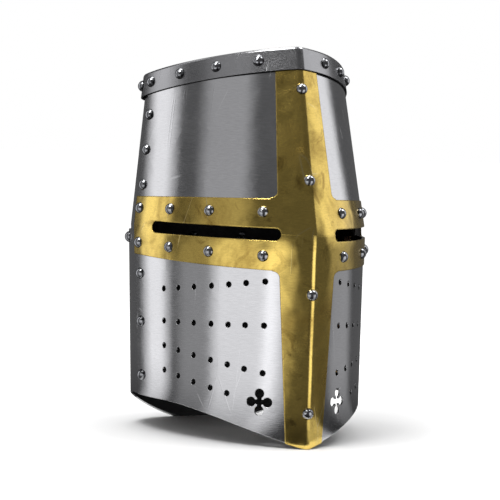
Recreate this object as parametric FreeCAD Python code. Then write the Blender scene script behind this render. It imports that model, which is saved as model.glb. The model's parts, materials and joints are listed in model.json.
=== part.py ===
import FreeCAD, Part
import math
import os

# Great helm. Millimetres, +Z up, the face looks along -Y.
# It stands on the tip of its chin and on its nape, with the origin under its middle.

# Whole helm
HEIGHT = 346.3              # chin tip to the front of the crown
RIM_WIDTH = 203.0           # widest at the rim
SIGHT_WIDTH = 215.0         # widest at the eye slits
CROWN_WIDTH = 181.4         # widest at the top level
SIGHT_HEIGHT = 183.7        # chin tip to the middle of the eye slits
TOP_MARGIN = 3.7
TOP_LEVEL = HEIGHT + TOP_MARGIN  # level at which the crown's outline is given
SIGHT_DEPTH = 241.7         # ridge to nape at the eye slits
RIM_DEPTH = 238.6
CROWN_DEPTH = 161.4
RIM_SETBACK = 0.4           # how far the ridge stands behind its place at the slits
CROWN_SETBACK = 51.5
RIDGE_RADIUS = 5.0          # fold at the middle of the face
FRONT_REACH = 119.05        # origin to the ridge at the eye slits
# Shares of half width and depth: cheek handle across, cheek handle back, widest place, handle ahead of it
RIM_PLAN_SHARES = (0.882, 0.166, 0.702, 0.176)
SIGHT_PLAN_SHARES = (0.837, 0.1725, 0.725, 0.132)
CROWN_PLAN_SHARES = (0.770, 0.226, 0.827, 0.084)
PLAN_SPANS = 5              # stretches of each half of the plan curve
PLAN_STEPS = 400            # chords that measure its length
SETTLING_STEPS = 6          # rounds that find a height on a sloping plane
BACK_SIDE_SHARE = 0.62      # handle of the back curve at the side
BACK_MIDDLE_SHARE = 0.60    # handle of the back curve at the middle

# Rim, seen from the side
RIM_RISE = 31.0             # the sides of the rim above the chin tip
RIM_FRONT_RUN = 110.0       # the chin's curve runs back this far
RIM_BACK_START = 170.0      # the nape's curve starts here, from the ridge
NAPE_START = 233.0          # from here the nape is level

# Crown
CROWN_ANGLE = 11.0          # fall to the back, degrees
FLANGE_HEIGHT = 21.0
CROWN_EDGE_RADIUS = 2.0

# Sheets
STEEL = 1.5
BRASS = 1.0
GAP = 0.1                   # between sheets that lie on each other
LEATHER = 2.2
RUN = 400.0                 # overrun of all cutters
SEAM_SHARE = 0.895          # edge of the front plates along the plan curve
SEAM_LAP = 24.0             # the back plates reach under the front plates
JOINT_LAP = 16.0            # the upper back plate reaches under the lower one
BACK_STEP = 0.8             # the upper back plate is drawn in at the joint, besides its thickness
BACK_STEP_SPAN = 0.3        # along the plan curve, from the widest place

# Brass cross
BAND_HALF = 31.6            # half height of the band at the face
BAND_TAPER = 2.0            # its edges close towards the ears, degrees
ARM_CENTRE_HALF = 25.5      # half width of the arms at the band
ARM_TOP_HALF = 19.2
ARM_CHIN_HALF = 16.8
ARM_CORNER = 5.0

# Eye slits
SLIT_HEIGHT = 10.4
SLIT_FACE_SHARE = 0.118     # centres of the round ends along the plan curve
SLIT_EAR_SHARE = 0.668
FLANGE_REST_SHARE = 0.37    # from here back the flange lies on the steel, ahead of it on the brass
FLANGE_RISE_SHARE = 0.13
FLANGE_BACK_SPAN = 0.7      # behind the widest place it closes on the back plate over this share

# Breaths in the lower front plate
BREATH_RADIUS = 2.7
BREATH_COLUMN_SHARES = (0.147, 0.214, 0.280, 0.353, 0.436, 0.522, 0.615)
BREATH_ROW_SHARES = (0.7784, 0.5716, 0.3484, 0.2041)  # of the height of the slits
BREATH_ROW_STEPS = (-2.2, -0.6, 2.6, 3.4)
BREATH_ROW_STARTS = (0, 0, 0, 2)
FOIL_SHARE = 0.156
FOIL_HEIGHT_SHARE = 0.2118
FOIL_LOBE_RADIUS = 4.2
FOIL_REACH = 7.4

# Rivets
HEAD_RADIUS = 5.1
HEAD_HEIGHT = 3.9
SHANK_RADIUS = 2.0
TAIL_RADIUS = 3.4
TAIL_HEIGHT = 1.3
SHANK_CLEARANCE = 0.1
HEAD_LIFT = 0.15            # flat underside of a head over the curved sheet
RIDGE_UPPER_SHARES = (0.7749, 0.2903)  # from the slits up to the crown
RIDGE_LOWER_SHARES = (0.7246, 0.1682)  # from the chin tip up to the slits
BAND_RIVET_SHARES = (0.157, 0.366, 0.574, 0.836)
BAND_RIVET_RISE = 19.4      # rows above and below the slits at the face
BAND_RIVET_FALL = 4.8       # less by this at the side of the head
SEAM_RIVET_SHARE = 0.833
UPPER_SEAM_SHARES = (0.6132, 0.4188, 0.2245)
LOWER_SEAM_SHARES = (0.7648, 0.5307, 0.2684)
CROWN_RIVET_SHARES = (0.155, 0.347, 0.560, 0.831, 1.082, 1.350, 1.700)
JOINT_RIVET_COUNT = 3       # on each side
JOINT_RIVET_DROP = 7.0      # under the top edge of the lower back plate

# Lining
LINER_RISE = 8.9            # its lower edge above the middle of the slits
LINER_HEIGHT = 23.0
LINER_FOLD = 12.0           # radius at the brow
LINER_STAND_OFF = 0.7       # it leaves the steel by this at the brow
LINER_STAND_OFF_SHARE = 0.3
LINER_FRONT_SHARE = 0.30    # the leather leaves the front plates here
LINER_BACK_SHARE = 0.60     # and lies on the back plate from here
WASHER_RADIUS = 5.0
WASHER_THICK = 1.0
WASHER_GAP = 0.5            # flat washer behind the curved headband
TONGUE_COUNT = 4            # on each side
TONGUE_BASE_WIDTH = 42.0
TONGUE_TIP_WIDTH = 12.0
TONGUE_THICK = 1.8
TONGUE_LAP = 6.1            # the foot reaches down over the headband
TONGUE_DROP = 43.3          # its tip below the front of the crown
TONGUE_SPANS = 5            # stretches along a tongue
TONGUE_STRIPS = 4           # and across it
SEAT_GAP = 0.3
GATHER_DEPTH = 132.0        # middle of the gathered tips behind the ridge
GATHER_RADIUS = 25.0
LACE_RADIUS = 1.2
KNOT_HALF = 2.4             # half length of its knot
LOOP_BORE = 2.2
LOOP_WALL = 1.6
QUARTER_SHARE = 0.5523      # handle of a quarter curve

# Chin strap
STRAP_WIDTH = 18.0
STRAP_THICK = 2.0
STRAP_DROP = 6.7            # its upper end below the middle of the slits
STRAP_END = 37.0
STRAP_POINT = 12.0
STRAP_HOLE_RADIUS = 1.9
STRAP_HOLE_STEP = 13.0
STRAP_HOLE_COUNT = 5
BUCKLE_HEIGHT = 74.0        # bar of the buckle
FRAME_BAR_RADIUS = 1.5
FRAME_INSIDE_WIDTH = 21.0
FRAME_INSIDE_HEIGHT = 20.0
FRAME_CORNER = 3.0
PRONG_RADIUS = 1.3
PRONG_POINT_RADIUS = 0.9
PRONG_RING_RADIUS = 2.7
PRONG_RING_WIDTH = 4.0
PRONG_CLEARANCE = 0.05
PRONG_SLOT_WIDTH = 6.0
PRONG_SLOT_RISE = 9.0
FOLD_RAMP = 13.0
FOLD_LENGTH = 34.0
KEEPER_RISE = 19.6
KEEPER_HEIGHT = 6.0
KEEPER_THICK = 1.1


def vec(x, y, z=0.0):
    return FreeCAD.Vector(x, y, z)


def blend(a, b, share):
    return a + (b - a) * share


def level_controls(width, depth, setback, shares):
    """Control points of the half plan, across and back from the ridge at the slits."""
    half = width / 2
    across, back, widest, ahead = shares
    side = setback + widest * depth
    return [
        (0.0, setback),
        (across * half, setback + back * depth),
        (half, side - ahead * depth),
        (half, side),
        (half, side + BACK_SIDE_SHARE * (setback + depth - side)),
        (BACK_MIDDLE_SHARE * half, setback + depth),
        (0.0, setback + depth),
    ]


RIM_PLAN = level_controls(RIM_WIDTH, RIM_DEPTH, RIM_SETBACK, RIM_PLAN_SHARES)
SIGHT_PLAN = level_controls(SIGHT_WIDTH, SIGHT_DEPTH, 0.0, SIGHT_PLAN_SHARES)
CROWN_PLAN = level_controls(CROWN_WIDTH, CROWN_DEPTH, CROWN_SETBACK, CROWN_PLAN_SHARES)


def controls(z):
    """Control points at a height: straight lines run from the rim to the slits and on to the top."""
    if z < SIGHT_HEIGHT:
        low, high, share = RIM_PLAN, SIGHT_PLAN, z / SIGHT_HEIGHT
    else:
        low, high = SIGHT_PLAN, CROWN_PLAN
        share = (z - SIGHT_HEIGHT) / (TOP_LEVEL - SIGHT_HEIGHT)
    return [(blend(a[0], b[0], share), blend(a[1], b[1], share)) for a, b in zip(low, high)]


def plan_point(points, s):
    """Place and direction on the half plan: s runs from 0 at the ridge by 1 at the side to 2 at the nape."""
    first = 0 if s <= 1 else 3
    t = s if s <= 1 else s - 1
    a, b, c, d = points[first:first + 4]
    u = 1 - t
    place = [u ** 3 * a[i] + 3 * u * u * t * b[i] + 3 * u * t * t * c[i] + t ** 3 * d[i] for i in (0, 1)]
    along = [u * u * (b[i] - a[i]) + 2 * u * t * (c[i] - b[i]) + t * t * (d[i] - c[i]) for i in (0, 1)]
    size = math.hypot(along[0], along[1])
    return place[0], place[1], along[0] / size, along[1] / size


def skin_point(z, s, out, side=1):
    """Point at a distance outward from the helm's skin, with the level outward direction."""
    x, y, across, back = plan_point(controls(z), s)
    return vec(side * (x + out * back), y - out * across, z), vec(side * back, -across)


def skin_normal(z, s, side=1):
    """Outward direction square to the sloping skin."""
    step = STEEL
    low = skin_point(z - step, s, 0.0, side)[0]
    high = skin_point(z + step, s, 0.0, side)[0]
    if low.z < SIGHT_HEIGHT < high.z:
        low = skin_point(z, s, 0.0, side)[0]
    level = skin_point(z, s, 0.0, side)[1]
    rise = (high - low).normalize()
    return (level - rise * level.dot(rise)).normalize()


def plane_height(z, slope, place_at):
    """Height at which a line of the skin meets a plane that falls to the back from a height at the ridge."""
    height = z
    for _ in range(SETTLING_STEPS if slope else 0):
        height = z - slope * place_at(height).y
    return height


def fold_share(fold):
    """Share of the plan curve that a fold at the ridge takes up."""
    _, _, across, back = plan_point(SIGHT_PLAN, 0)
    return fold * back / across / (3 * math.hypot(SIGHT_PLAN[1][0], SIGHT_PLAN[1][1]))


def half_outline(z, out_at, fold, sign, slope, spans):
    """Fold, front and back curves of one side where a plane cuts the skin."""

    def fold_at(share):
        def place(height):
            _, ridge, across, back = plan_point(controls(height), 0)
            centre = ridge + (fold - out_at(0)) / across
            return vec(sign * share * fold * back, centre - fold * blend(1, across, share), height)
        return place(plane_height(z, slope, place))

    def side_at(s):
        def place(height):
            return skin_point(height, s, out_at(s), sign)[0]
        return place(plane_height(z, slope, place))

    shares = [k / spans for k in range(spans + 1)]
    front = [fold_at(1)] + [side_at(share) for share in shares[1:]]
    rear = [side_at(1 + share) for share in shares]
    points = controls(front[-1].z)

    def speed(first, last):
        across, back = [3 * (points[last][i] - points[first][i]) for i in (0, 1)]
        return vec(sign * across, back, -slope * back)

    front_shares = [fold_share(fold)] + shares[1:]
    curve = Part.BSplineCurve()
    curve.interpolate(Points=front, Parameters=front_shares, InitialTangent=speed(0, 1),
                      FinalTangent=speed(2, 3), Scale=False)
    tail = Part.BSplineCurve()
    tail.interpolate(Points=rear, Parameters=shares, InitialTangent=speed(3, 4),
                     FinalTangent=speed(5, 6), Scale=False)
    return fold_at(0), front[0], curve, tail


def outline(z, out_at, fold, slope=0.0, spans=PLAN_SPANS):
    """Closed outline where a plane cuts the skin: the fold, and the curves of both sides."""
    nose, right_start, right, right_tail = half_outline(z, out_at, fold, 1, slope, spans)
    _, left_start, left, left_tail = half_outline(z, out_at, fold, -1, slope, spans)
    fold_arc = Part.Arc(left_start, nose, right_start)
    edges = [fold_arc, right, right_tail, left_tail, left]
    return Part.Wire(Part.__sortEdges__([e.toShape() for e in edges]))


def eased(share):
    """Smooth step from 0 to 1."""
    share = min(1.0, max(0.0, share))
    return share * share * (3 - 2 * share)


def drawn_in(s):
    """How far the upper back plate is drawn in at its foot."""
    return BACK_STEP * eased((s - 1) / BACK_STEP_SPAN)


def solid_skin(low, high, out):
    """Solid inside a skin at a distance from the nominal one, between two heights."""
    fold = RIDGE_RADIUS + out
    wires = [outline(z, lambda s: out, fold) for z in (low, high)]
    return Part.makeLoft(wires, True, True)


def sheet(low, high, outside, thick):
    return solid_skin(low, high, outside).cut(solid_skin(low, high, outside - thick))


def side_prism(points):
    """Prism across the helm from an outline in depth and height."""
    face = Part.Face(Part.makePolygon([vec(-RUN, y, z) for y, z in points + points[:1]]))
    return face.extrude(vec(2 * RUN, 0))


def seam_depth(z):
    return skin_point(z, SEAM_SHARE, 0.0)[0].y


def ahead_of_seam(shift=0.0):
    """Everything in front of the side seams, which follow the skin's straight lines."""
    low, middle, high = [seam_depth(z) + shift for z in (0.0, SIGHT_HEIGHT, TOP_LEVEL)]
    below = low - (middle - low) * RUN / SIGHT_HEIGHT
    above = high + (high - middle) * RUN / (TOP_LEVEL - SIGHT_HEIGHT)
    top = TOP_LEVEL + RUN
    return side_prism([(-RUN, -RUN), (below, -RUN), (middle, SIGHT_HEIGHT), (above, top), (-RUN, top)])


def rim_cutter():
    """Everything below the rim: a curve up from the chin, a level side and a curve down to the nape."""
    front_radius = (RIM_FRONT_RUN ** 2 + RIM_RISE ** 2) / (2 * RIM_RISE)
    run = NAPE_START - RIM_BACK_START
    back_radius = (run ** 2 + RIM_RISE ** 2) / (2 * RIM_RISE)

    def on_arc(end, radius, share, toward):
        angle = share * math.asin(abs(toward) / radius)
        height = RIM_RISE - radius * (1 - math.cos(angle))
        return vec(0, end + math.copysign(radius * math.sin(angle), toward), height)

    chin = on_arc(RIM_FRONT_RUN, front_radius, 1, -RIM_FRONT_RUN)
    chin_middle = on_arc(RIM_FRONT_RUN, front_radius, 0.5, -RIM_FRONT_RUN)
    front_end = on_arc(RIM_FRONT_RUN, front_radius, 0, -RIM_FRONT_RUN)
    back_start = on_arc(RIM_BACK_START, back_radius, 0, run)
    nape_middle = on_arc(RIM_BACK_START, back_radius, 0.5, run)
    nape = on_arc(RIM_BACK_START, back_radius, 1, run)
    far_nape = vec(0, NAPE_START + RUN, 0)
    low_nape = vec(0, NAPE_START + RUN, -RUN)
    low_chin = vec(0, 0, -RUN)
    edges = [
        Part.Arc(chin, chin_middle, front_end).toShape(),
        Part.makeLine(front_end, back_start),
        Part.Arc(back_start, nape_middle, nape).toShape(),
        Part.makeLine(nape, far_nape),
        Part.makeLine(far_nape, low_nape),
        Part.makeLine(low_nape, low_chin),
        Part.makeLine(low_chin, chin),
    ]
    face = Part.Face(Part.Wire(edges))
    face.translate(vec(-RUN, 0))
    return face.extrude(vec(2 * RUN, 0))


def crown_height(depth):
    """Outside of the crown plate at a depth."""
    top_depth = CROWN_SETBACK * (HEIGHT - SIGHT_HEIGHT) / (TOP_LEVEL - SIGHT_HEIGHT)
    return HEIGHT - (depth - top_depth) * math.tan(math.radians(CROWN_ANGLE))


def above_crown(drop):
    """Everything above the crown's outside, lowered by a drop."""
    front, back = [crown_height(depth) - drop for depth in (-RUN, RUN)]
    return side_prism([(-RUN, front), (RUN, back), (RUN, 2 * RUN), (-RUN, 2 * RUN)])


def slit_cutter(side):
    """Slot square to the skin, level, with round ends."""
    reach = CROWN_SETBACK
    ends = []
    for share in (SLIT_FACE_SHARE, SLIT_EAR_SHARE):
        point, level = skin_point(SIGHT_HEIGHT, share, 0.0, side)
        ends.append((point, level))
    middle_share = (SLIT_FACE_SHARE + SLIT_EAR_SHARE) / 2
    middle, middle_level = skin_point(SIGHT_HEIGHT, middle_share, 0.0, side)
    (face, face_level), (ear, ear_level) = ends
    low = vec(0, 0, -SLIT_HEIGHT / 2)
    half = reach / 2
    corners = [face - face_level * half, face + face_level * half, middle + middle_level * reach,
               ear + ear_level * half, ear - ear_level * half, middle - middle_level * half]
    corners = [c + low for c in corners]
    slot = Part.Face(Part.makePolygon(corners + corners[:1])).extrude(vec(0, 0, SLIT_HEIGHT))
    for point, level in ends:
        slot = slot.fuse(Part.makeCylinder(SLIT_HEIGHT / 2, reach, point - level * half, level))
    return slot


def breath_cutters(side):
    """Rows of round breaths that fan out from the ear, and the quatrefoil."""
    cutters = []
    reach = 4 * HEAD_RADIUS
    for row, step, start in zip(BREATH_ROW_SHARES, BREATH_ROW_STEPS, BREATH_ROW_STARTS):
        for column in range(start, len(BREATH_COLUMN_SHARES)):
            z = SIGHT_HEIGHT * row + step * column
            share = BREATH_COLUMN_SHARES[column]
            point = skin_point(z, share, 0.0, side)[0]
            normal = skin_normal(z, share, side)
            cutters.append(Part.makeCylinder(BREATH_RADIUS, reach, point - normal * reach / 2, normal))
    foil_height = SIGHT_HEIGHT * FOIL_HEIGHT_SHARE
    point = skin_point(foil_height, FOIL_SHARE, 0.0, side)[0]
    normal = skin_normal(foil_height, FOIL_SHARE, side)
    across = normal.cross(vec(0, 0, 1)).normalize()
    up = across.cross(normal).normalize()
    foot = point - normal * reach / 2
    for shift in (across, across * -1, up, up * -1):
        centre = foot + shift * FOIL_REACH
        cutters.append(Part.makeCylinder(FOIL_LOBE_RADIUS, reach, centre, normal))
    arm = FOIL_LOBE_RADIUS / 2
    for one, other in ((across, up), (up, across)):
        corner = foot - one * FOIL_REACH - other * arm
        corners = [corner, corner + one * 2 * FOIL_REACH, corner + one * 2 * FOIL_REACH + other * 2 * arm,
                   corner + other * 2 * arm]
        cutters.append(Part.Face(Part.makePolygon(corners + corners[:1])).extrude(normal * reach))
    return cutters


def shank_cutter(z, s, side):
    reach = 8 * HEAD_RADIUS
    point = skin_point(z, s, 0.0, side)[0]
    normal = skin_normal(z, s, side)
    radius = SHANK_RADIUS + SHANK_CLEARANCE
    return Part.makeCylinder(radius, reach, point - normal * reach / 2, normal)


def head_profile():
    """Centre height and radius of the round head."""
    radius = (HEAD_RADIUS ** 2 + HEAD_HEIGHT ** 2) / (2 * HEAD_HEIGHT)
    return HEAD_HEIGHT - radius, radius


def rivet(z, s, side, out, depth):
    """Round-headed rivet through sheets that lie between two distances from the skin."""
    normal = skin_normal(z, s, side)
    foot, level = skin_point(z, s, 0.0, side)
    square = normal.dot(level)
    seat = foot + normal * (out * square + HEAD_LIFT)
    grip = (out - depth) * square + 2 * HEAD_LIFT
    centre, radius = head_profile()
    half = math.atan2(HEAD_RADIUS, -centre) / 2
    middle = vec(radius * math.sin(half), 0, centre + radius * math.cos(half))
    end = -grip - TAIL_HEIGHT
    points = [vec(HEAD_RADIUS, 0), vec(SHANK_RADIUS, 0), vec(SHANK_RADIUS, 0, -grip),
              vec(TAIL_RADIUS, 0, -grip), vec(TAIL_RADIUS, 0, end), vec(0, 0, end), vec(0, 0, HEAD_HEIGHT)]
    edges = [Part.Arc(points[-1], middle, points[0]).toShape()]
    edges += [Part.makeLine(a, b) for a, b in zip(points, points[1:])]
    body = Part.Face(Part.Wire(edges)).revolve(vec(0, 0), vec(0, 0, 1), 360)
    body.Placement = FreeCAD.Placement(seat, FreeCAD.Rotation(vec(0, 0, 1), normal))
    return body


def arc_share(z, distance):
    """Where along the plan curve a distance from the ridge falls."""
    points = controls(z)
    length = 0.0
    before = plan_point(points, 0)
    for k in range(1, PLAN_STEPS + 1):
        here = plan_point(points, 2 * k / PLAN_STEPS)
        length += math.hypot(here[0] - before[0], here[1] - before[1])
        if length >= distance:
            return 2 * k / PLAN_STEPS
        before = here
    return 2.0


def arc_length(z, start=0.0, end=2.0):
    points = controls(z)
    places = [plan_point(points, blend(start, end, k / PLAN_STEPS)) for k in range(PLAN_STEPS + 1)]
    return sum(math.hypot(b[0] - a[0], b[1] - a[1]) for a, b in zip(places, places[1:]))


def band_rivet_offset(share):
    return BAND_RIVET_RISE - BAND_RIVET_FALL * share


def crown_rivet_spots():
    """Height and share of the flange rivets on the middle line of the flange."""
    spots = []
    for share in CROWN_RIVET_SHARES:
        z = TOP_LEVEL
        for _ in range(SETTLING_STEPS):
            z = crown_height(skin_point(z, share, 0.0)[0].y) - FLANGE_HEIGHT / 2
        spots.append((z, share))
    return spots


def joint_rivet_spots():
    z = SIGHT_HEIGHT - SLIT_HEIGHT / 2 - JOINT_RIVET_DROP
    whole = arc_length(z, SEAM_SHARE)
    start = arc_length(z, 0.0, SEAM_SHARE)
    pitch = whole / JOINT_RIVET_COUNT
    return [(z, arc_share(z, start + pitch * (k + 0.5))) for k in range(JOINT_RIVET_COUNT)]


def band_spots(row):
    return [(SIGHT_HEIGHT + row * band_rivet_offset(s), s) for s in BAND_RIVET_SHARES]


def cut_all(body, cutters):
    return body.cut(Part.makeCompound(cutters))


def both_sides(spots):
    return [shank_cutter(z, s, side) for z, s in spots for side in (1, -1)]


def ridge_line(z):
    """Point on the ridge and the outward direction square to it."""
    _, ridge, _, _ = plan_point(controls(z), 0)
    normal = skin_normal(z, 0.0)
    return vec(0, ridge, z), vec(0, normal.y, normal.z).normalize()


def ridge_cutters():
    reach = 8 * HEAD_RADIUS
    bore = SHANK_RADIUS + SHANK_CLEARANCE
    cutters = []
    for z in UPPER_RIDGE_HEIGHTS + LOWER_RIDGE_HEIGHTS:
        point, normal = ridge_line(z)
        cutters.append(Part.makeCylinder(bore, reach, point - normal * reach / 2, normal))
    return cutters


BACK_OUT = -(STEEL + GAP)                # outside of the back plates under the front ones
LAPPED_OUT = 2 * BACK_OUT                # outside of the upper back plate under the lower one
BACK_IN = BACK_OUT - STEEL
BRASS_OUT = GAP + BRASS
FLANGE_IN = BRASS_OUT + 2 * GAP
LINER_FRONT_OUT = -(STEEL + SEAT_GAP)
STRAP_FACE = STEEL - LAPPED_OUT + 5 * GAP  # the straps hang inside both back plates
SLIT_TOP = SIGHT_HEIGHT + SLIT_HEIGHT / 2
SLIT_BOTTOM = SIGHT_HEIGHT - SLIT_HEIGHT / 2
LINER_BOTTOM = SIGHT_HEIGHT + LINER_RISE
TONGUE_FOOT = LINER_BOTTOM + LINER_HEIGHT - TONGUE_LAP
TONGUE_TOP = HEIGHT - TONGUE_DROP
STRAP_TOP = SIGHT_HEIGHT - STRAP_DROP
UPPER_RIDGE_HEIGHTS = [blend(SIGHT_HEIGHT, HEIGHT, share) for share in RIDGE_UPPER_SHARES]
LOWER_RIDGE_HEIGHTS = [SIGHT_HEIGHT * share for share in RIDGE_LOWER_SHARES]
SEAM_UPPER_SPOTS = [(blend(SIGHT_HEIGHT, HEIGHT, share), SEAM_RIVET_SHARE) for share in UPPER_SEAM_SHARES]
SEAM_LOWER_SPOTS = [(SIGHT_HEIGHT * share, SEAM_RIVET_SHARE) for share in LOWER_SEAM_SHARES]


def upper_back_out(z, s):
    """Outside of the upper back plate: under the lower one at its foot, under the front ones at its top."""
    share = max(0.0, (z - SIGHT_HEIGHT) / (TOP_LEVEL - SIGHT_HEIGHT))
    return blend(LAPPED_OUT - drawn_in(s), BACK_OUT, share)


def upper_front_plate():
    plate = solid_skin(SIGHT_HEIGHT, TOP_LEVEL, 0.0).cut(solid_skin(SIGHT_HEIGHT, TOP_LEVEL, -STEEL))
    top = TOP_LEVEL + RUN
    above_slit = side_prism([(-RUN, SLIT_TOP), (RUN, SLIT_TOP), (RUN, top), (-RUN, top)])
    plate = plate.common(ahead_of_seam()).common(above_slit).cut(above_crown(STEEL + GAP))
    spots = band_spots(1) + SEAM_UPPER_SPOTS + crown_rivet_spots()
    return cut_all(plate, both_sides(spots) + ridge_cutters())


def lower_front_plate():
    plate = sheet(0.0, SIGHT_HEIGHT, 0.0, STEEL).common(ahead_of_seam())
    above_slit = side_prism([(-RUN, SLIT_BOTTOM), (RUN, SLIT_BOTTOM), (RUN, RUN), (-RUN, RUN)])
    plate = plate.cut(rim_cutter()).cut(above_slit)
    cutters = both_sides(band_spots(-1) + SEAM_LOWER_SPOTS) + ridge_cutters()
    return cut_all(plate, cutters + breath_cutters(1) + breath_cutters(-1))


def upper_back_skin(low, inward):
    """Solid inside the upper back plate's skin, from a height up."""
    def wire(z):
        return outline(z, lambda s: upper_back_out(z, s) - inward, RIDGE_RADIUS)
    return Part.makeLoft([wire(low), wire(SIGHT_HEIGHT), wire(TOP_LEVEL)], True, True)


def upper_back_plate():
    foot = SLIT_BOTTOM - JOINT_LAP
    plate = upper_back_skin(foot, 0.0).cut(upper_back_skin(foot, STEEL))
    plate = plate.cut(ahead_of_seam(-SEAM_LAP)).cut(above_crown(STEEL + GAP))
    spots = band_spots(1)[-1:] + band_spots(-1)[-1:] + SEAM_UPPER_SPOTS
    spots += crown_rivet_spots() + joint_rivet_spots()
    return cut_all(plate, both_sides(spots))


def lower_back_plate():
    plate = sheet(0.0, SIGHT_HEIGHT, BACK_OUT, STEEL).cut(ahead_of_seam(-SEAM_LAP))
    above_joint = side_prism([(-RUN, SLIT_BOTTOM), (RUN, SLIT_BOTTOM), (RUN, RUN), (-RUN, RUN)])
    plate = plate.cut(rim_cutter()).cut(above_joint)
    return cut_all(plate, both_sides(band_spots(-1)[-1:] + SEAM_LOWER_SPOTS + joint_rivet_spots()))


def cross_arms():
    """Upright arms seen from the front, with round inner corners."""
    top = TOP_LEVEL + RUN
    band = BAND_HALF
    above = [(ARM_CENTRE_HALF, SIGHT_HEIGHT + band), (ARM_TOP_HALF, HEIGHT - FLANGE_HEIGHT)]
    below = [(ARM_CENTRE_HALF, SIGHT_HEIGHT - band), (ARM_CHIN_HALF, 0.0)]

    def across(pair, z):
        (x0, z0), (x1, z1) = pair
        return x0 + (x1 - x0) * (z - z0) / (z1 - z0)

    corner = ARM_CORNER
    mid = corner * (1 - math.sqrt(0.5))
    high = SIGHT_HEIGHT + band
    low = SIGHT_HEIGHT - band
    foot = -RUN / 8
    right = [
        Part.makeLine(vec(across(above, top), 0, top), vec(across(above, high + corner), 0, high + corner)),
        Part.Arc(vec(across(above, high + corner), 0, high + corner),
                 vec(across(above, high) + mid, 0, high + mid),
                 vec(across(above, high) + corner, 0, high)).toShape(),
        Part.makeLine(vec(across(above, high) + corner, 0, high), vec(across(below, low) + corner, 0, low)),
        Part.Arc(vec(across(below, low) + corner, 0, low),
                 vec(across(below, low) + mid, 0, low - mid),
                 vec(across(below, low - corner), 0, low - corner)).toShape(),
        Part.makeLine(vec(across(below, low - corner), 0, low - corner), vec(across(below, foot), 0, foot)),
    ]
    base = Part.makeLine(vec(across(below, foot), 0, foot), vec(0, 0, foot))
    axis = Part.makeLine(vec(0, 0, foot), vec(0, 0, top))
    roof = Part.makeLine(vec(0, 0, top), vec(across(above, top), 0, top))
    half = Part.Face(Part.Wire(Part.__sortEdges__(right + [base, axis, roof])))
    half.translate(vec(0, -RUN / 4))
    half = half.extrude(vec(0, RUN / 2))
    return half.fuse(half.mirror(vec(0, 0), vec(1, 0)))


def cross_band():
    """Level band whose edges close a little towards the ears."""
    slope = math.tan(math.radians(BAND_TAPER))
    ends = [(y, BAND_HALF - y * slope) for y in (-RUN / 4, SIGHT_DEPTH)]
    above = [(y, SIGHT_HEIGHT + half) for y, half in ends]
    below = [(y, SIGHT_HEIGHT - half) for y, half in ends[::-1]]
    return side_prism(above + below)


def brass_cross():
    low = sheet(0.0, SIGHT_HEIGHT, BRASS_OUT, BRASS)
    high = sheet(SIGHT_HEIGHT, TOP_LEVEL, BRASS_OUT, BRASS)
    shape = cross_arms().fuse(cross_band()).common(ahead_of_seam())
    low = low.common(shape).cut(rim_cutter())
    high = high.common(shape).cut(above_crown(STEEL + GAP))
    cutters = both_sides(band_spots(1) + band_spots(-1)) + ridge_cutters() + [slit_cutter(1), slit_cutter(-1)]
    return cut_all(low.fuse(high), cutters)


def flange_in(s):
    """Inside of the flange: over the brass at the face, on the front plate, then on the back plate."""
    front = blend(FLANGE_IN, GAP, eased((s - FLANGE_RISE_SHARE) / (FLANGE_REST_SHARE - FLANGE_RISE_SHARE)))
    return front + BACK_OUT * eased((s - 1) / FLANGE_BACK_SPAN)


def crown_wire(drop, shift):
    slope = math.tan(math.radians(CROWN_ANGLE))
    fold = RIDGE_RADIUS + FLANGE_IN + shift
    return outline(crown_height(0.0) - drop, lambda s: flange_in(s) + shift, fold, slope, 2 * PLAN_SPANS)


def crown_plate():
    """Sloping top with a rounded edge and a flange over the upper plates."""
    edge = CROWN_EDGE_RADIUS
    mid = edge * (1 - math.sqrt(0.5))
    wires = [
        crown_wire(FLANGE_HEIGHT, STEEL),
        crown_wire(edge, STEEL),
        crown_wire(mid, STEEL - mid),
        crown_wire(0.0, STEEL - edge),
    ]
    block = Part.makeLoft(wires, True, True)
    hollow = Part.makeLoft([crown_wire(2 * FLANGE_HEIGHT, 0.0), crown_wire(STEEL, 0.0)], True, True)
    return cut_all(block.cut(hollow), both_sides(crown_rivet_spots()))


def crown_rivets():
    bodies = []
    for z, s in crown_rivet_spots():
        depth = -STEEL if s < SEAM_RIVET_SHARE - BACK_STEP_SPAN / 4 else upper_back_out(z, s) - STEEL
        for side in (1, -1):
            bodies.append(rivet(z, s, side, flange_in(s) + STEEL, depth))
    return bodies


def ridge_rivets():
    saddle_low = solid_skin(0.0, SIGHT_HEIGHT, BRASS_OUT)
    saddle_high = solid_skin(SIGHT_HEIGHT, TOP_LEVEL, BRASS_OUT)
    upper = [ridge_rivet(z, saddle_high) for z in UPPER_RIDGE_HEIGHTS]
    return upper + [ridge_rivet(z, saddle_low) for z in LOWER_RIDGE_HEIGHTS]


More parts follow.
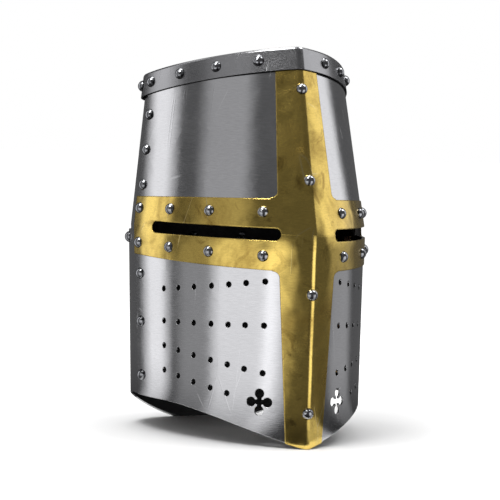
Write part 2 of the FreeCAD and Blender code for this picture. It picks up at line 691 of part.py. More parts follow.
def ridge_rivet(z, saddle):
    """Rivet whose head is shaped over the fold."""
    fold = RIDGE_RADIUS + BRASS_OUT
    _, _, across, back = plan_point(controls(z), 0)
    seat_out = BRASS_OUT / across - fold * (1 / across - 1)
    foot, normal = ridge_line(z)
    seat = foot + normal * seat_out * abs(normal.y)
    inner_fold = RIDGE_RADIUS - STEEL
    inner = STEEL / across + inner_fold * (1 / across - 1)
    flank = inner_fold + (TAIL_RADIUS * back - inner_fold) / across
    grip = (seat_out + inner + flank) * abs(normal.y) + 2 * GAP
    skirt = RIDGE_RADIUS / 2
    centre, radius = head_profile()
    head = Part.makeSphere(radius, vec(0, 0, centre)).common(Part.makeCylinder(HEAD_RADIUS, HEAD_HEIGHT))
    head = head.fuse(Part.makeCylinder(HEAD_RADIUS, skirt, vec(0, 0, -skirt)))
    turn = FreeCAD.Rotation(vec(0, 0, 1), normal)
    head.Placement = FreeCAD.Placement(seat, turn)
    head = head.cut(saddle)
    end = -grip - TAIL_HEIGHT / 2
    shank = Part.makeCylinder(SHANK_RADIUS, skirt / 2 - end, vec(0, 0, end))
    tail = Part.makeCylinder(TAIL_RADIUS, TAIL_HEIGHT, vec(0, 0, -grip - TAIL_HEIGHT))
    core = shank.fuse(tail)
    core.Placement = FreeCAD.Placement(seat, turn)
    return head.fuse(core)


def band_upper_rivets():
    bodies = []
    for z, s in band_spots(1):
        depth = liner_out_at(z, s) - LEATHER - WASHER_GAP - WASHER_THICK
        for side in (1, -1):
            bodies.append(rivet(z, s, side, BRASS_OUT, depth))
    return bodies


def band_lower_rivets():
    bodies = []
    for z, s in band_spots(-1):
        depth = -STRAP_FACE - STRAP_THICK if s == BAND_RIVET_SHARES[-1] else -STEEL
        for side in (1, -1):
            bodies.append(rivet(z, s, side, BRASS_OUT, depth))
    return bodies


def seam_rivets(side):
    upper = [rivet(z, s, side, 0.0, upper_back_out(z, s) - STEEL) for z, s in SEAM_UPPER_SPOTS]
    lower = [rivet(z, s, side, 0.0, BACK_IN) for z, s in SEAM_LOWER_SPOTS]
    return upper + lower


def back_joint_rivets():
    bodies = []
    for z, s in joint_rivet_spots():
        for side in (1, -1):
            bodies.append(rivet(z, s, side, BACK_OUT, upper_back_out(z, s) - STEEL))
    return bodies


def liner_out_at(z, s):
    """Outside of the headband: on the front plates, then on the upper back plate."""
    share = (s - LINER_FRONT_SHARE) / (LINER_BACK_SHARE - LINER_FRONT_SHARE)
    front = LINER_FRONT_OUT - LINER_STAND_OFF * (1 - eased(s / LINER_STAND_OFF_SHARE))
    return blend(front, upper_back_out(z, s) - STEEL - GAP, eased(share))


def liner_solid(extra):
    """Solid inside the headband's outside, lowered inward by an extra depth."""
    def wire(z):
        return outline(z, lambda s: liner_out_at(z, s) - extra, LINER_FOLD - extra, spans=2 * PLAN_SPANS)
    return Part.makeLoft([wire(LINER_BOTTOM), wire(LINER_BOTTOM + LINER_HEIGHT)], True, True)


def liner_band():
    band = liner_solid(0.0).cut(liner_solid(LEATHER))
    return cut_all(band, both_sides(band_spots(1)))


def liner_washers():
    bodies = []
    for z, s in band_spots(1):
        for side in (1, -1):
            normal = skin_normal(z, s, side)
            skin, level = skin_point(z, s, 0.0, side)
            foot = skin + normal * (liner_out_at(z, s) - LEATHER - WASHER_GAP) * normal.dot(level)
            bore = SHANK_RADIUS + SHANK_CLEARANCE
            ring = Part.makeCylinder(WASHER_RADIUS, WASHER_THICK, foot, normal * -1)
            bodies.append(ring.cut(Part.makeCylinder(bore, WASHER_THICK, foot, normal * -1)))
    return bodies


def curve_point(poles, t):
    """Point of a cubic curve."""
    u = 1 - t
    weights = (u ** 3, 3 * u * u * t, 3 * u * t * t, t ** 3)
    total = vec(0, 0)
    for pole, weight in zip(poles, weights):
        total = total + pole * weight
    return total


def tongue_frame(index, side):
    """Arc length and share at the middle of a tongue's foot, and its level direction to the gathered tips."""
    middle = arc_length(TONGUE_FOOT) * (index + 0.5) / TONGUE_COUNT
    base = liner_inside(TONGUE_FOOT, arc_share(TONGUE_FOOT, middle), side)
    inward = (vec(0, GATHER_DEPTH) - vec(base.x, base.y)).normalize()
    return middle, inward


def liner_inside(z, s, side):
    """Point on the headband's inner face, with room for the seam."""
    return skin_point(z, s, liner_out_at(z, s) - LEATHER - SEAT_GAP, side)[0]


def tongue_line(index, side, across_share):
    """Points along a tongue, from its foot up the headband and over the head to the gathered tips."""
    middle, inward = tongue_frame(index, side)
    share = arc_share(TONGUE_FOOT, middle + across_share * TONGUE_BASE_WIDTH / 2)
    foot = liner_inside(TONGUE_FOOT, share, side)
    edge = liner_inside(LINER_BOTTOM + LINER_HEIGHT, share, side)
    across = vec(inward.y, -inward.x) * side
    reach = GATHER_RADIUS + LOOP_BORE + LOOP_WALL / 2
    tip = vec(0, GATHER_DEPTH, TONGUE_TOP) - inward * reach - across * across_share * TONGUE_TIP_WIDTH / 2
    rise = tip.z - edge.z
    way = (edge - foot) * (QUARTER_SHARE * rise / (edge.z - foot.z))
    level = vec(tip.x - edge.x, tip.y - edge.y)
    poles = [edge, edge + way, tip - level * QUARTER_SHARE, tip]
    return [foot] + [curve_point(poles, k / TONGUE_SPANS) for k in range(TONGUE_SPANS + 1)]


def tongue_section(lines, k):
    """Closed section of a tongue square to its run."""
    outer = [line[k] for line in lines]
    centre = lines[TONGUE_STRIPS // 2]
    before = centre[max(k - 1, 0)]
    after = centre[min(k + 1, TONGUE_SPANS + 1)]
    normal = (after - before).cross(outer[-1] - outer[0]).normalize() * TONGUE_THICK
    if k == 0:
        normal = vec(normal.x, normal.y)
    inner = [point + normal for point in outer]
    edges = []
    for points in (outer, inner):
        curve = Part.BSplineCurve()
        curve.interpolate(points)
        edges.append(curve.toShape())
    edges += [Part.makeLine(outer[-1], inner[-1]), Part.makeLine(inner[0], outer[0])]
    return Part.Wire(Part.__sortEdges__(edges))


def liner_tongue(index, side):
    """Leather tongue sewn to the headband: it bends over the head, narrows and ends in a loop."""
    shares = [side * (2 * k / TONGUE_STRIPS - 1) for k in range(TONGUE_STRIPS + 1)]
    lines = [tongue_line(index, side, share) for share in shares]
    sheet_body = Part.makeLoft([tongue_section(lines, k) for k in range(TONGUE_SPANS + 2)], True, False)
    _, inward = tongue_frame(index, side)
    across = vec(-inward.y, inward.x)
    centre = vec(0, GATHER_DEPTH, TONGUE_TOP - TONGUE_THICK / 2) - inward * GATHER_RADIUS
    start = centre - across * TONGUE_TIP_WIDTH / 2
    loop = Part.makeCylinder(LOOP_BORE + LOOP_WALL, TONGUE_TIP_WIDTH, start, across)
    bore = Part.makeCylinder(LOOP_BORE, TONGUE_TIP_WIDTH, start, across)
    return sheet_body.fuse(loop).cut(bore)


def liner_lace():
    """Lace through the loops, tied in a small knot."""
    z = TONGUE_TOP - TONGUE_THICK / 2
    centre = vec(0, GATHER_DEPTH, z)
    ring = Part.makeTorus(GATHER_RADIUS, LACE_RADIUS, centre)
    knot = Part.makeCylinder(2 * LACE_RADIUS, 2 * KNOT_HALF, centre + vec(-KNOT_HALF, GATHER_RADIUS), vec(1, 0))
    return ring.fuse(knot)


def strap_frame(side):
    """Local frame of a chin strap: depth inward, width across, length up along the wall."""
    low = skin_point(0.0, SEAM_RIVET_SHARE, 0.0, side)[0]
    high = skin_point(SIGHT_HEIGHT, SEAM_RIVET_SHARE, 0.0, side)[0]
    up = (high - low).normalize()
    normal = skin_normal(SIGHT_HEIGHT / 2, SEAM_RIVET_SHARE, side)
    inward = normal * -1
    across = up.cross(inward).normalize()
    return FreeCAD.Placement(low, FreeCAD.Rotation(inward, across, up, "ZXY"))


def local_box(low, high):
    return Part.makeBox(high[0] - low[0], high[1] - low[1], high[2] - low[2], vec(*low))


BAR_DEPTH = STRAP_FACE + STRAP_THICK + FRAME_BAR_RADIUS + SEAT_GAP


def chin_strap_right():
    """Plain end of the chin strap, with holes and a point."""
    half = STRAP_WIDTH / 2
    face = STRAP_FACE
    points = [vec(face, -half, STRAP_TOP), vec(face, half, STRAP_TOP), vec(face, half, STRAP_END + STRAP_POINT),
              vec(face, 0, STRAP_END), vec(face, -half, STRAP_END + STRAP_POINT)]
    strap = Part.Face(Part.makePolygon(points + points[:1])).extrude(vec(STRAP_THICK, 0))
    for k in range(STRAP_HOLE_COUNT):
        z = STRAP_END + STRAP_POINT + STRAP_HOLE_STEP * (k + 0.5)
        strap = strap.cut(Part.makeCylinder(STRAP_HOLE_RADIUS, STRAP_THICK, vec(face, 0, z), vec(1, 0)))
    strap.Placement = strap_frame(-1)
    return strap.cut(shank_cutter(band_spots(-1)[-1][0], BAND_RIVET_SHARES[-1], -1))


def chin_strap_left():
    """Buckle end of the chin strap, folded round the buckle's bar."""
    half = STRAP_WIDTH / 2
    face = STRAP_FACE
    bar = BUCKLE_HEIGHT
    bore = FRAME_BAR_RADIUS + SEAT_GAP
    rim = bore + STRAP_THICK
    body = local_box((face, -half, bar), (face + STRAP_THICK, half, STRAP_TOP))
    fold = Part.makeCylinder(rim, STRAP_WIDTH, vec(BAR_DEPTH, -half, bar), vec(0, 1))
    upper = local_box((face - rim, -half, bar), (face + 3 * rim, half, bar + rim))
    fold = fold.cut(upper)
    back = BAR_DEPTH + bore
    lay = face + STRAP_THICK
    ramp = [vec(back, -half, bar), vec(back + STRAP_THICK, -half, bar),
            vec(lay + STRAP_THICK, -half, bar + FOLD_RAMP), vec(lay, -half, bar + FOLD_RAMP)]
    ramp = Part.Face(Part.makePolygon(ramp + ramp[:1])).extrude(vec(0, STRAP_WIDTH))
    turned = local_box((lay, -half, bar + FOLD_RAMP), (lay + STRAP_THICK, half, bar + FOLD_LENGTH))
    body = body.fuse([fold, ramp, turned]).removeSplitter()
    body = body.cut(Part.makeCylinder(bore, STRAP_WIDTH, vec(BAR_DEPTH, -half, bar), vec(0, 1)))
    slot = PRONG_SLOT_WIDTH / 2
    body = body.cut(local_box((face - rim, -slot, bar - 2 * rim), (face + 4 * rim, slot, bar + PRONG_SLOT_RISE)))
    body.Placement = strap_frame(1)
    return body.cut(shank_cutter(band_spots(-1)[-1][0], BAND_RIVET_SHARES[-1], 1))


def strap_keeper():
    """Leather loop round the folded end."""
    half = STRAP_WIDTH / 2 + SEAT_GAP
    low = BUCKLE_HEIGHT + KEEPER_RISE - KEEPER_HEIGHT
    face = STRAP_FACE
    back = face + 2 * STRAP_THICK + SEAT_GAP
    outer = local_box((face - KEEPER_THICK - GAP, -half - KEEPER_THICK, low),
                      (back + KEEPER_THICK, half + KEEPER_THICK, low + KEEPER_HEIGHT))
    keeper = outer.cut(local_box((face - GAP, -half, low), (back, half, low + KEEPER_HEIGHT)))
    keeper.Placement = strap_frame(1)
    return keeper


def buckle_frame():
    """Wire frame that hangs on its bar in the fold of the strap."""
    radius = FRAME_BAR_RADIUS
    half = FRAME_INSIDE_WIDTH / 2 + radius
    top = BUCKLE_HEIGHT
    bottom = top - FRAME_INSIDE_HEIGHT - 2 * radius
    corner = FRAME_CORNER
    cut = corner * (1 - math.sqrt(0.5))
    depth = BAR_DEPTH
    path = [
        Part.makeLine(vec(depth, 0, top), vec(depth, half - corner, top)),
        Part.Arc(vec(depth, half - corner, top), vec(depth, half - cut, top - cut),
                 vec(depth, half, top - corner)).toShape(),
        Part.makeLine(vec(depth, half, top - corner), vec(depth, half, bottom + corner)),
        Part.Arc(vec(depth, half, bottom + corner), vec(depth, half - cut, bottom + cut),
                 vec(depth, half - corner, bottom)).toShape(),
        Part.makeLine(vec(depth, half - corner, bottom), vec(depth, 0, bottom)),
    ]
    profile = Part.Wire(Part.makeCircle(radius, vec(depth, 0, top), vec(0, 1)))
    side = Part.Wire(path).makePipeShell([profile], True, False)
    frame = side.fuse(side.mirror(vec(0, 0), vec(0, 1))).removeSplitter()
    frame.Placement = strap_frame(1)
    return frame


def buckle_prong():
    """Prong: a ring on the bar and a tapered point that rests on the far side of the frame."""
    top = BUCKLE_HEIGHT
    bore = FRAME_BAR_RADIUS + PRONG_CLEARANCE
    width = PRONG_RING_WIDTH
    ring = Part.makeCylinder(PRONG_RING_RADIUS, width, vec(BAR_DEPTH, -width / 2, top), vec(0, 1))
    rest_depth = BAR_DEPTH + FRAME_BAR_RADIUS + PRONG_RADIUS
    length = FRAME_INSIDE_HEIGHT + 3 * FRAME_BAR_RADIUS
    start = vec(BAR_DEPTH + (bore + PRONG_RING_RADIUS) / 2, 0, top)
    end = vec(rest_depth, 0, top - length)
    run = end - start
    point = Part.makeCone(PRONG_RADIUS, PRONG_POINT_RADIUS, run.Length, start, run)
    prong = ring.fuse(point).cut(Part.makeCylinder(bore, width, vec(BAR_DEPTH, -width / 2, top), vec(0, 1)))
    prong.Placement = strap_frame(1)
    return prong


def stand(shape):
    """Put the origin under the helm's middle."""
    shape.translate(vec(0, -FRONT_REACH))
    return shape


def nodes():
    made = {
        "crown_plate": crown_plate(),
        "upper_front_plate": upper_front_plate(),
        "lower_front_plate": lower_front_plate(),
        "upper_back_plate": upper_back_plate(),
        "lower_back_plate": lower_back_plate(),
        "brass_cross": brass_cross(),
        "crown_rivets": Part.makeCompound(crown_rivets()),
        "ridge_rivets": Part.makeCompound(ridge_rivets()),
        "band_upper_rivets": Part.makeCompound(band_upper_rivets()),
        "band_lower_rivets": Part.makeCompound(band_lower_rivets()),
        "seam_rivets_left": Part.makeCompound(seam_rivets(1)),
        "seam_rivets_right": Part.makeCompound(seam_rivets(-1)),
        "back_joint_rivets": Part.makeCompound(back_joint_rivets()),
        "liner_band": liner_band(),
        "liner_washers": Part.makeCompound(liner_washers()),
        "liner_lace": liner_lace(),
        "chin_strap_left": chin_strap_left(),
        "chin_strap_right": chin_strap_right(),
        "strap_keeper": strap_keeper(),
        "buckle_frame": buckle_frame(),
        "buckle_prong": buckle_prong(),
    }
    for index in range(TONGUE_COUNT):
        made["liner_tongue_left_%d" % (index + 1)] = liner_tongue(index, 1)
        made["liner_tongue_right_%d" % (index + 1)] = liner_tongue(index, -1)
    return made


os.makedirs("parts", exist_ok=True)
for name, shape in nodes().items():
    stand(shape).exportStep("parts/%s.step" % name)
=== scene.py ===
import json
import math

import bpy
from bpy.props import FloatProperty, FloatVectorProperty, IntProperty, PointerProperty
from mathutils import Matrix, Vector
from mathutils.bvhtree import BVHTree


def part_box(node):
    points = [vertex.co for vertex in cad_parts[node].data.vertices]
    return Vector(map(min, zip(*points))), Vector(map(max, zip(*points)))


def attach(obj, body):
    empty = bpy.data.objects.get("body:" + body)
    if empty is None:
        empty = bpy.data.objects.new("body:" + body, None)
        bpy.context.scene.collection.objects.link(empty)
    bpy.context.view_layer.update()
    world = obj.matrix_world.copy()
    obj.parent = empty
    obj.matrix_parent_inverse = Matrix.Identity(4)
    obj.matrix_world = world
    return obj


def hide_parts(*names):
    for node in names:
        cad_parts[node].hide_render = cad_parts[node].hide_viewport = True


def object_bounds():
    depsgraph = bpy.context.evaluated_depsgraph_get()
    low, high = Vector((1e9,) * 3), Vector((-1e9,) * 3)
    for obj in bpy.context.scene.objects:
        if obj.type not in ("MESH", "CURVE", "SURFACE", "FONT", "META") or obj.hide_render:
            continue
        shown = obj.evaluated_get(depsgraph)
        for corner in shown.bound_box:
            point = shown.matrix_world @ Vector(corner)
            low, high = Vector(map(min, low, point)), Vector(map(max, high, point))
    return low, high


bl_info = {
    "name": "Great helm",
    "version": (1, 0, 0),
    "blender": (4, 5, 0),
    "location": "3D View > Sidebar > Helm",
    "description": "Dresses a great helm of plate steel and brass with a laced leather lining",
    "category": "Add Mesh",
}

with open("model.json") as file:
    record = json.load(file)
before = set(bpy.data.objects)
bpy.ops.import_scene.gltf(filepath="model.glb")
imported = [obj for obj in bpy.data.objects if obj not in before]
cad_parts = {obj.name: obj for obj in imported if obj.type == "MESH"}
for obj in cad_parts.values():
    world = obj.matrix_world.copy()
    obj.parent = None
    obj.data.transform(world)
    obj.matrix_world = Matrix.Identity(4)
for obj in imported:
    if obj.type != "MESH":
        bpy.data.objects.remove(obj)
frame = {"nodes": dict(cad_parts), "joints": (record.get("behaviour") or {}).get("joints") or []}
FRAME_LOW, FRAME_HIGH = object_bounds()
NODES = frame["nodes"]
MM = 0.001
# Middle of the eye slits
SIGHT_LEVEL = (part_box("lower_front_plate")[1].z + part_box("upper_front_plate")[0].z) / 2

PLATES = ("crown_plate", "upper_front_plate", "lower_front_plate", "upper_back_plate", "lower_back_plate")
RIVETS = ("crown_rivets", "ridge_rivets", "band_upper_rivets", "band_lower_rivets", "seam_rivets_left",
          "seam_rivets_right", "back_joint_rivets")
TONGUES = tuple("liner_tongue_%s_%d" % (side, number)
                for side in ("left", "right") for number in (1, 2, 3, 4))


# Properties

class HelmMetal(bpy.types.PropertyGroup):
    """Colours and finish of the plates, the cross and the rivets."""

    steel: FloatVectorProperty(name="Steel", description="Colour of the plates", subtype="COLOR", size=3,
                               min=0, max=1, default=(0.72, 0.72, 0.73))
    steel_roughness: FloatProperty(name="Steel roughness", description="How satin the plates are",
                                   min=0.05, max=1, default=0.11, subtype="FACTOR")
    crown: FloatVectorProperty(name="Crown", description="Colour of the crown and its flange",
                               subtype="COLOR", size=3, min=0, max=1, default=(0.44, 0.44, 0.45))
    crown_roughness: FloatProperty(name="Crown roughness", description="How satin the crown is",
                                   min=0.05, max=1, default=0.22, subtype="FACTOR")
    brass: FloatVectorProperty(name="Brass", description="Colour of the cross", subtype="COLOR", size=3,
                               min=0, max=1, default=(0.92, 0.67, 0.175))
    tarnish: FloatVectorProperty(name="Tarnish", description="Colour of the brass where it has dulled",
                                 subtype="COLOR", size=3, min=0, max=1, default=(0.30, 0.175, 0.032))
    brass_roughness: FloatProperty(name="Brass roughness", description="How satin the cross is",
                                   min=0.05, max=1, default=0.12, subtype="FACTOR")
    rivet: FloatVectorProperty(name="Rivets", description="Colour of the polished heads", subtype="COLOR",
                               size=3, min=0, max=1, default=(0.40, 0.405, 0.42))


class HelmLeather(bpy.types.PropertyGroup):
    """Colours and stitching of the lining and the chin strap."""

    hide: FloatVectorProperty(name="Hide", description="Colour of the grain side", subtype="COLOR", size=3,
                              min=0, max=1, default=(0.26, 0.115, 0.05))
    cut_edge: FloatVectorProperty(name="Cut edge", description="Colour of the bare cut edge", subtype="COLOR",
                                  size=3, min=0, max=1, default=(0.52, 0.38, 0.22))
    thread: FloatVectorProperty(name="Thread", description="Colour of the waxed thread", subtype="COLOR",
                                size=3, min=0, max=1, default=(0.62, 0.52, 0.36))
    lace: FloatVectorProperty(name="Lace", description="Colour of the rawhide lace", subtype="COLOR", size=3,
                              min=0, max=1, default=(0.42, 0.27, 0.14))
    ripple: FloatProperty(name="Ripple", description="Unevenness of the leather's surface", unit="LENGTH",
                          min=0, max=0.002, default=0.0004)
    stitch_pitch: FloatProperty(name="Stitch pitch", description="From one stitch to the next", unit="LENGTH",
                                min=0.002, max=0.02, default=0.0062)
    stitch_length: FloatProperty(name="Stitch length", description="Length of a stitch", unit="LENGTH",
                                 min=0.001, max=0.02, default=0.0045)
    stitch_thickness: FloatProperty(name="Stitch thickness", description="Thickness of the thread",
                                    unit="LENGTH", min=0.0002, max=0.003, default=0.0009)
    lace_facets: IntProperty(name="Facets of the lace", description="Points round the lace ring", min=24,
                             default=96)


class HelmStage(bpy.types.PropertyGroup):
    """Camera and floor."""

    aim: FloatVectorProperty(name="Aim", description="Point that the view turns about", subtype="TRANSLATION",
                             size=3, unit="LENGTH", default=(0.0, -0.11905, 0.1546))
    turn: FloatProperty(name="Turn", description="From straight ahead to the wearer's right", subtype="ANGLE",
                        default=math.radians(21.44))
    fall: FloatProperty(name="Fall", description="How far the view looks down", subtype="ANGLE",
                        default=math.radians(2.97))
    roll: FloatProperty(name="Roll", description="Tilt of the camera about its view", subtype="ANGLE",
                        default=math.radians(1.96))
    distance: FloatProperty(name="Distance", description="Camera to the aim", unit="LENGTH", default=1.9796)
    offset: FloatVectorProperty(name="Offset", description="Aim from the middle of the view, across and up",
                                size=2, unit="LENGTH", default=(0.0540, -0.01729))
    lens: FloatProperty(name="Lens", description="Focal length in millimetres", min=1, default=166.62)
    floor: FloatProperty(name="Floor size", description="Side of the floor", unit="LENGTH", default=40.0)


# Material building

# How far the painted shade reaches out of the corners where pieces meet
PAINTED_SHADE_REACH = 2.6 * MM
EDGE_RADIUS = 0.7 * MM
RIDGE_RADIUS = 1.6 * MM
INSIDE_SHADE_SHARE = 0.07  # of the colour outside: painted shade on the unpolished inner faces


class Finish:
    """One material and the few kinds of node that the finishes share."""

    def __init__(self, name):
        self.material = bpy.data.materials.new(name)
        self.material.use_nodes = True
        self.tree = self.material.node_tree
        self.shader = self.tree.nodes["Principled BSDF"]
        coordinates = self.add("ShaderNodeTexCoord")
        self.place = coordinates.outputs["Object"]
        self.facing = coordinates.outputs["Normal"]

    def add(self, kind, **settings):
        node = self.tree.nodes.new(kind)
        for key, value in settings.items():
            setattr(node, key, value)
        return node

    def join(self, output, socket):
        self.tree.links.new(output, socket)

    def feed(self, socket, value):
        """Links a node's output or sets a constant."""
        if isinstance(value, bpy.types.NodeSocket):
            self.join(value, socket)
        else:
            socket.default_value = value

    def stretched(self, scale, turn=(0, 0, 0)):
        node = self.add("ShaderNodeMapping")
        node.inputs["Scale"].default_value = scale
        node.inputs["Rotation"].default_value = turn
        self.join(self.place, node.inputs["Vector"])
        return node.outputs["Vector"]

    def noise(self, scale, detail=4.0, roughness=0.55, distortion=0.0, vector=None):
        node = self.add("ShaderNodeTexNoise")
        self.join(vector or self.place, node.inputs["Vector"])
        node.inputs["Scale"].default_value = scale
        node.inputs["Detail"].default_value = detail
        node.inputs["Roughness"].default_value = roughness
        node.inputs["Distortion"].default_value = distortion
        return node.outputs["Fac"]

    def cells(self, scale, feature="F1", vector=None):
        node = self.add("ShaderNodeTexVoronoi", feature=feature)
        self.join(vector or self.place, node.inputs["Vector"])
        node.inputs["Scale"].default_value = scale
        return node.outputs["Distance"]

    def range(self, value, low, high, to_low=0.0, to_high=1.0):
        node = self.add("ShaderNodeMapRange")
        self.feed(node.inputs["Value"], value)
        node.inputs["From Min"].default_value = low
        node.inputs["From Max"].default_value = high
        node.inputs["To Min"].default_value = to_low
        node.inputs["To Max"].default_value = to_high
        return node.outputs["Result"]

    def sum(self, operation, a, b):
        node = self.add("ShaderNodeMath", operation=operation)
        self.feed(node.inputs[0], a)
        self.feed(node.inputs[1], b)
        return node.outputs["Value"]

    def blend(self, share, a, b):
        """Colour a where the share is 0, b where it is 1."""
        node = self.add("ShaderNodeMix", data_type="RGBA")
        self.feed(node.inputs["Factor"], share)
        self.feed(node.inputs["A"], a)
        self.feed(node.inputs["B"], b)
        return node.outputs["Result"]

    def inside(self):
        """1 on faces that look towards the middle of the helm, 0 on the others."""
        middle = (FRAME_LOW + FRAME_HIGH) / 2
        outward = self.add("ShaderNodeVectorMath", operation="SUBTRACT")
        self.join(self.place, outward.inputs[0])
        outward.inputs[1].default_value = middle
        along = self.add("ShaderNodeVectorMath", operation="DOT_PRODUCT")
        self.join(outward.outputs["Vector"], along.inputs[0])
        self.join(self.facing, along.inputs[1])
        return self.range(along.outputs["Value"], 0.0, -0.012)

    def corners(self, reach, unshaded_ao=0.75, shaded_ao=0.25):
        """Mask of painted shade: 1 deep in the corners where pieces meet, 0 on open faces."""
        node = self.add("ShaderNodeAmbientOcclusion", samples=8)
        node.inputs["Distance"].default_value = reach
        return self.range(node.outputs["AO"], unshaded_ao, shaded_ao)

    def rounded(self, radius):
        """Edges worn round."""
        node = self.add("ShaderNodeBevel", samples=4)
        node.inputs["Radius"].default_value = radius
        return node.outputs["Normal"]

    def bump(self, height, depth, under=None):
        node = self.add("ShaderNodeBump")
        node.inputs["Distance"].default_value = depth
        self.join(height, node.inputs["Height"])
        if under:
            self.join(under, node.inputs["Normal"])
        return node.outputs["Normal"]

    def set(self, **inputs):
        for key, value in inputs.items():
            self.feed(self.shader.inputs[key.replace("_", " ")], value)


def colour(values, share=1.0):
    return tuple(value * share for value in values) + (1.0,)


def scratches(finish, scale, stretch, turn, width):
    """Sparse thin lines: the edges of stretched cells, broken by a patchy mask."""
    vector = finish.stretched(stretch, turn)
    lines = finish.range(finish.cells(scale, "DISTANCE_TO_EDGE", vector), 0.0, width, 1.0, 0.0)
    patches = finish.range(finish.noise(scale * 0.6, 2.0), 0.58, 0.66)
    return finish.sum("MULTIPLY", lines, patches)


def plate_steel(name, base, roughness):
    """Satin plate: a fine level grain, cloudy polish, hair scratches and small specks, with painted shade in
    the corners and on the inner faces.
    """
    finish = Finish(name)
    grain = finish.noise(1.0, 3.0, 0.6, vector=finish.stretched((160, 160, 1900)))
    clouds = finish.noise(22.0, 5.0, 0.6, 0.4)
    smudges = finish.noise(7.0, 3.0, 0.5, 0.8)
    specks = finish.range(finish.noise(900.0, 2.0, 0.5), 0.70, 0.76)
    worn = finish.range(finish.noise(60.0, 6.0, 0.7), 0.60, 0.72)
    marks = finish.sum("MAXIMUM", scratches(finish, 26.0, (1, 1, 0.22), (0.5, 0.2, 0.4), 0.012),
                       scratches(finish, 34.0, (1, 1, 0.16), (-0.7, 0.5, 0.1), 0.010))
    shade = finish.blend(finish.range(grain, 0.3, 0.7), colour(base, 0.90), colour(base, 1.05))
    shade = finish.blend(finish.range(smudges, 0.35, 0.75, 0.0, 0.30), shade, colour(base, 0.72))
    shade = finish.blend(finish.sum("MULTIPLY", specks, worn), shade, colour(base, 0.25))
    shade = finish.blend(finish.sum("MULTIPLY", marks, 0.55), shade, colour(base, 1.35))
    # Painted shade, nearly black, in the corners and gaps where pieces meet
    painted_corner_shade = finish.sum("MULTIPLY", finish.corners(PAINTED_SHADE_REACH), 0.9)
    shade = finish.blend(painted_corner_shade, shade, colour(base, 0.06))
    inside = finish.inside()
    # Painted shade on the faces that look into the helm
    shade = finish.blend(inside, shade, colour(base, INSIDE_SHADE_SHARE))
    rough = finish.range(clouds, 0.3, 0.7, roughness - 0.03, roughness + 0.04)
    rough = finish.sum("ADD", rough, finish.range(grain, 0.3, 0.7, -0.02, 0.03))
    rough = finish.sum("ADD", rough, finish.sum("MULTIPLY", marks, 0.15))
    rough = finish.sum("ADD", rough, finish.sum("MULTIPLY", inside, 0.4))
    normal = finish.bump(grain, 0.000018, finish.rounded(EDGE_RADIUS))
    normal = finish.bump(marks, 0.00003, normal)
    normal = finish.bump(finish.noise(9.0, 2.0, 0.4), 0.0012, normal)
    finish.set(Base_Color=shade, Metallic=1.0, Roughness=rough, Normal=normal)
    return finish.material


def fold_dip(finish):
    """Height that rounds the cross where it leans back above the eye slits."""
    reach = 16.0 * MM
    dip = 0.75 * MM
    split = finish.add("ShaderNodeSeparateXYZ")
    finish.join(finish.place, split.inputs["Vector"])
    away = finish.sum("ABSOLUTE", finish.sum("SUBTRACT", split.outputs["Z"], SIGHT_LEVEL), 0.0)
    near = finish.range(away, 0.0, reach, 1.0, 0.0)
    return finish.sum("MULTIPLY", finish.sum("MULTIPLY", near, near), -dip)


def cross_brass(name, base, tarnish, roughness):
    """Planished brass: soft hammer marks, brown tarnish in clouds, rubbed scratches, with painted shade in
    the corners and on the inner faces.
    """
    finish = Finish(name)
    grain = finish.noise(1.0, 3.0, 0.6, vector=finish.stretched((260, 260, 900), (0.3, 0.1, 0)))
    clouds = finish.noise(14.0, 6.0, 0.62, 0.9)
    freckles = finish.noise(120.0, 4.0, 0.6)
    dents = finish.cells(55.0, "SMOOTH_F1")
    dull = finish.range(clouds, 0.47, 0.72, 0.0, 0.8)
    dull = finish.sum("MULTIPLY", dull, finish.range(freckles, 0.30, 0.62, 0.55, 1.0))
    stains = finish.range(finish.noise(38.0, 5.0, 0.6, 1.4), 0.57, 0.70, 0.0, 0.6)
    marks = finish.sum("MAXIMUM", scratches(finish, 30.0, (1, 1, 0.3), (0.9, 0.2, 0.2), 0.012),
                       scratches(finish, 42.0, (1, 1, 0.2), (-0.4, 0.8, 0.0), 0.010))
    shade = finish.blend(finish.range(grain, 0.3, 0.7), colour(base, 0.90), colour(base, 1.06))
    shade = finish.blend(dull, shade, colour(tarnish))
    shade = finish.blend(stains, shade, colour(tarnish, 0.8))
    shade = finish.blend(finish.sum("MULTIPLY", marks, 0.6), shade, (0.95, 0.82, 0.50, 1.0))
    # Painted shade, dark brown, in the corners and gaps where pieces meet
    painted_corner_shade = finish.sum("MULTIPLY", finish.corners(PAINTED_SHADE_REACH), 0.9)
    shade = finish.blend(painted_corner_shade, shade, colour(tarnish, 0.12))
    inside = finish.inside()
    # Painted shade on the faces that look into the helm
    shade = finish.blend(inside, shade, colour(tarnish, 2 * INSIDE_SHADE_SHARE))
    rough = finish.range(clouds, 0.3, 0.75, roughness - 0.04, roughness + 0.16)
    rough = finish.sum("ADD", rough, finish.range(freckles, 0.35, 0.7, -0.02, 0.05))
    rough = finish.sum("ADD", rough, finish.sum("MULTIPLY", inside, 0.4))
    normal = finish.bump(fold_dip(finish), 1.0, finish.rounded(RIDGE_RADIUS))
    normal = finish.bump(dents, 0.00035, normal)
    normal = finish.bump(finish.noise(24.0, 2.0, 0.4), 0.0016, normal)
    normal = finish.bump(grain, 0.000016, normal)
    normal = finish.bump(marks, 0.00004, normal)
    finish.set(Base_Color=shade, Metallic=1.0, Roughness=rough, Normal=normal)
    return finish.material


